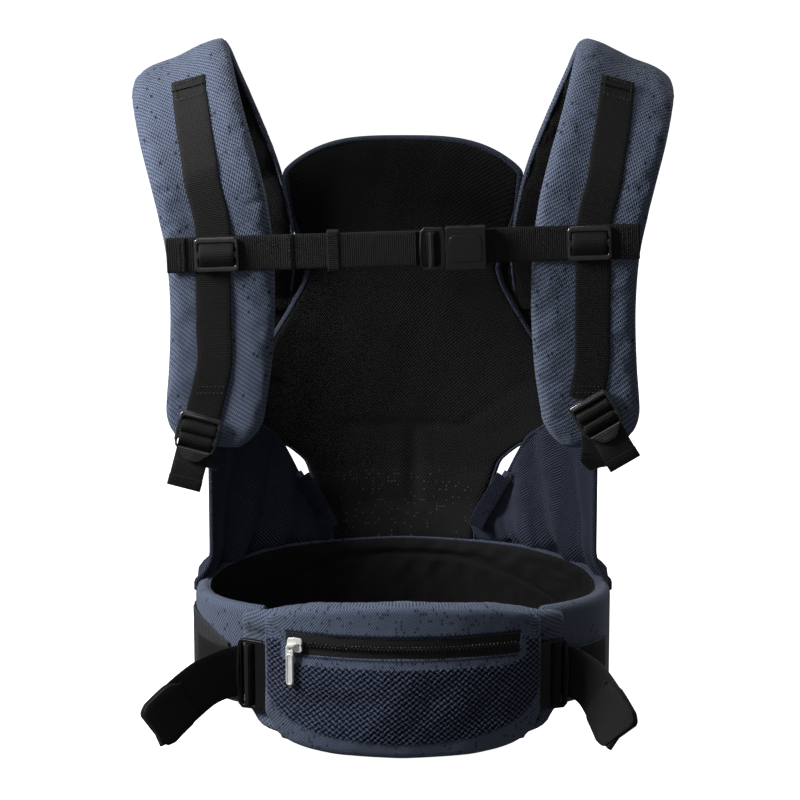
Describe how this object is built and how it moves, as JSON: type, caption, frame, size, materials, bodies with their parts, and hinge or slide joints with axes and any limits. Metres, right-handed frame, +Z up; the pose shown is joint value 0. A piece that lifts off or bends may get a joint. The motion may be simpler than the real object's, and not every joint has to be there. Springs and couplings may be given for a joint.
{
  "type": "soft baby carrier",
  "caption": "Soft structured baby carrier with a padded waist belt, back panel with folding head support, shoulder straps, chest strap and zipped lumbar pouch.",
  "frame": {"origin": "on the surface it stands on, under the middle of the carrier", "axes": "+Z up, -Y towards the wearer's back (pouch side), +X to the right seen from the pouch side"},
  "size_m": [0.392, 0.2617, 0.5056],
  "materials": {
    "blue_knit": "matt slate-blue fine piqué knit with dark flecks",
    "coarse_knit": "matt navy coarse bubble knit",
    "navy_twill": "matt navy diagonal twill",
    "black_mesh": "black 3D spacer mesh",
    "foam": "grey foam sheet, hidden inside",
    "grey_elastic": "dark grey woven elastic",
    "black_webbing": "black ribbed polyester webbing",
    "black_plastic": "satin black acetal",
    "dark_brass": "dark antique metal zip teeth",
    "bright_metal": "bright plated metal"
  },
  "bodies": {
    "carrier": {"belt_shell": "blue_knit", "belt_foam": "foam", "belt_liner": "black_mesh", "elastic_panel": "grey_elastic", "lumbar_pad": "blue_knit", "pouch_back": "navy_twill", "pouch_top": "blue_knit", "pouch_front": "coarse_knit", "zip_tape_upper": "black_webbing", "zip_tape_lower": "black_webbing", "zip_teeth": "dark_brass", "panel_shell": "navy_twill", "panel_spacer": "foam", "panel_liner": "black_mesh", "seat_liner": "black_mesh", "wing_left": "navy_twill", "seat_adjuster_tab_left": "navy_twill", "shoulder_cover_left": "blue_knit", "shoulder_foam_left": "foam", "shoulder_liner_left": "black_mesh", "shoulder_webbing_left": "black_webbing", "anchor_webbing_left": "black_webbing", "waist_webbing_left": "black_webbing", "waist_left_socket": "black_plastic", "wing_right": "navy_twill", "seat_adjuster_tab_right": "navy_twill", "shoulder_cover_right": "blue_knit", "shoulder_foam_right": "foam", "shoulder_liner_right": "black_mesh", "shoulder_webbing_right": "black_webbing", "anchor_webbing_right": "black_webbing", "waist_webbing_right": "black_webbing", "waist_right_socket": "black_plastic"},
    "zip_slider": {"zip_slider": "bright_metal"},
    "zip_pull": {"zip_pull": "bright_metal"},
    "head_support": {"head_support_shell": "blue_knit", "head_support_liner": "black_mesh"},
    "chest_strap": {"triglide_left": "black_plastic", "triglide_right": "black_plastic", "chest_webbing_left": "black_webbing", "chest_webbing_right": "black_webbing", "chest_socket": "black_plastic", "webbing_keeper": "black_webbing"},
    "chest_clip": {"chest_clip": "black_plastic"},
    "chest_prong_upper": {"chest_prong_upper": "black_plastic"},
    "chest_prong_lower": {"chest_prong_lower": "black_plastic"},
    "ladder_lock_left": {"ladder_lock_left": "black_plastic", "shoulder_tail_left": "black_webbing"},
    "ladder_lock_right": {"ladder_lock_right": "black_plastic", "shoulder_tail_right": "black_webbing"},
    "waist_clip_left": {"waist_left_clip": "black_plastic", "waist_tail_left": "black_webbing"},
    "waist_clip_right": {"waist_right_clip": "black_plastic", "waist_tail_right": "black_webbing"},
    "waist_left_prong_upper": {"waist_left_prong_upper": "black_plastic"},
    "waist_left_prong_lower": {"waist_left_prong_lower": "black_plastic"},
    "waist_right_prong_upper": {"waist_right_prong_upper": "black_plastic"},
    "waist_right_prong_lower": {"waist_right_prong_lower": "black_plastic"}
  },
  "joints": [
    {"name": "zip_travel", "type": "hinge", "parent": "carrier", "child": "zip_slider", "pos_m": [0, 0.081, 0.0835], "axis": [0, 0, 1], "range_deg": [0, 43.2]},
    {"name": "zip_pull_swing", "type": "hinge", "parent": "zip_slider", "child": "zip_pull", "pos_m": [-0.0815, -0.1156, 0.0825], "axis": [0.3681, 0.9298, 0], "range_deg": [-60, 60]},
    {"name": "head_support_fold", "type": "hinge", "parent": "carrier", "child": "head_support", "pos_m": [0, 0.1146, 0.3222], "axis": [-1, 0, 0], "range_deg": [0, 150]},
    {"name": "chest_strap_height", "type": "slide", "parent": "carrier", "child": "chest_strap", "axis": [0, 0, 1], "range_m": [-0.08, 0.01]},
    {"name": "chest_clip_release", "type": "slide", "parent": "chest_strap", "child": "chest_clip", "axis": [-0.9995, 0, -0.0314], "range_m": [0, 0.024]},
    {"name": "chest_prong_upper_press", "type": "hinge", "parent": "chest_clip", "child": "chest_prong_upper", "pos_m": [0.02953, -0.1051, 0.37798], "axis": [0, 1, 0], "range_deg": [0, 8], "stiffness_Nm_per_rad": 0.05},
    {"name": "chest_prong_lower_press", "type": "hinge", "parent": "chest_clip", "child": "chest_prong_lower", "pos_m": [0.03004, -0.1051, 0.36189], "axis": [0, -1, 0], "range_deg": [0, 8], "stiffness_Nm_per_rad": 0.05},
    {"name": "ladder_lock_left_tilt", "type": "hinge", "parent": "carrier", "child": "ladder_lock_left", "pos_m": [-0.1425, -0.0989, 0.25], "axis": [-0.9659, 0, 0.2588], "range_deg": [0, 50]},
    {"name": "ladder_lock_right_tilt", "type": "hinge", "parent": "carrier", "child": "ladder_lock_right", "pos_m": [0.13, -0.0989, 0.2615], "axis": [-0.8572, 0, -0.515], "range_deg": [0, 50]},
    {"name": "waist_clip_left_release", "type": "slide", "parent": "carrier", "child": "waist_clip_left", "axis": [-0.9026, 0.4305, 0], "range_m": [0, 0.028]},
    {"name": "waist_clip_right_release", "type": "slide", "parent": "carrier", "child": "waist_clip_right", "axis": [0.9026, 0.4305, 0], "range_m": [0, 0.028]},
    {"name": "waist_left_prong_upper_press", "type": "hinge", "parent": "waist_clip_left", "child": "waist_left_prong_upper", "pos_m": [-0.10012, -0.09128, 0.07205], "axis": [0.4305, 0.9026, 0], "range_deg": [0, 8], "stiffness_Nm_per_rad": 0.05},
    {"name": "waist_left_prong_lower_press", "type": "hinge", "parent": "waist_clip_left", "child": "waist_left_prong_lower", "pos_m": [-0.10012, -0.09128, 0.03395], "axis": [-0.4305, -0.9026, 0], "range_deg": [0, 8], "stiffness_Nm_per_rad": 0.05},
    {"name": "waist_right_prong_upper_press", "type": "hinge", "parent": "waist_clip_right", "child": "waist_right_prong_upper", "pos_m": [0.10012, -0.09128, 0.07205], "axis": [0.4305, -0.9026, 0], "range_deg": [0, 8], "stiffness_Nm_per_rad": 0.05},
    {"name": "waist_right_prong_lower_press", "type": "hinge", "parent": "waist_clip_right", "child": "waist_right_prong_lower", "pos_m": [0.10012, -0.09128, 0.03395], "axis": [-0.4305, 0.9026, 0], "range_deg": [0, 8], "stiffness_Nm_per_rad": 0.05}
  ],
  "couplings": [
    {"joint": "chest_prong_lower_press", "follows": "chest_prong_upper_press", "ratio": 1},
    {"joint": "waist_left_prong_lower_press", "follows": "waist_left_prong_upper_press", "ratio": 1},
    {"joint": "waist_right_prong_lower_press", "follows": "waist_right_prong_upper_press", "ratio": 1}
  ]
}
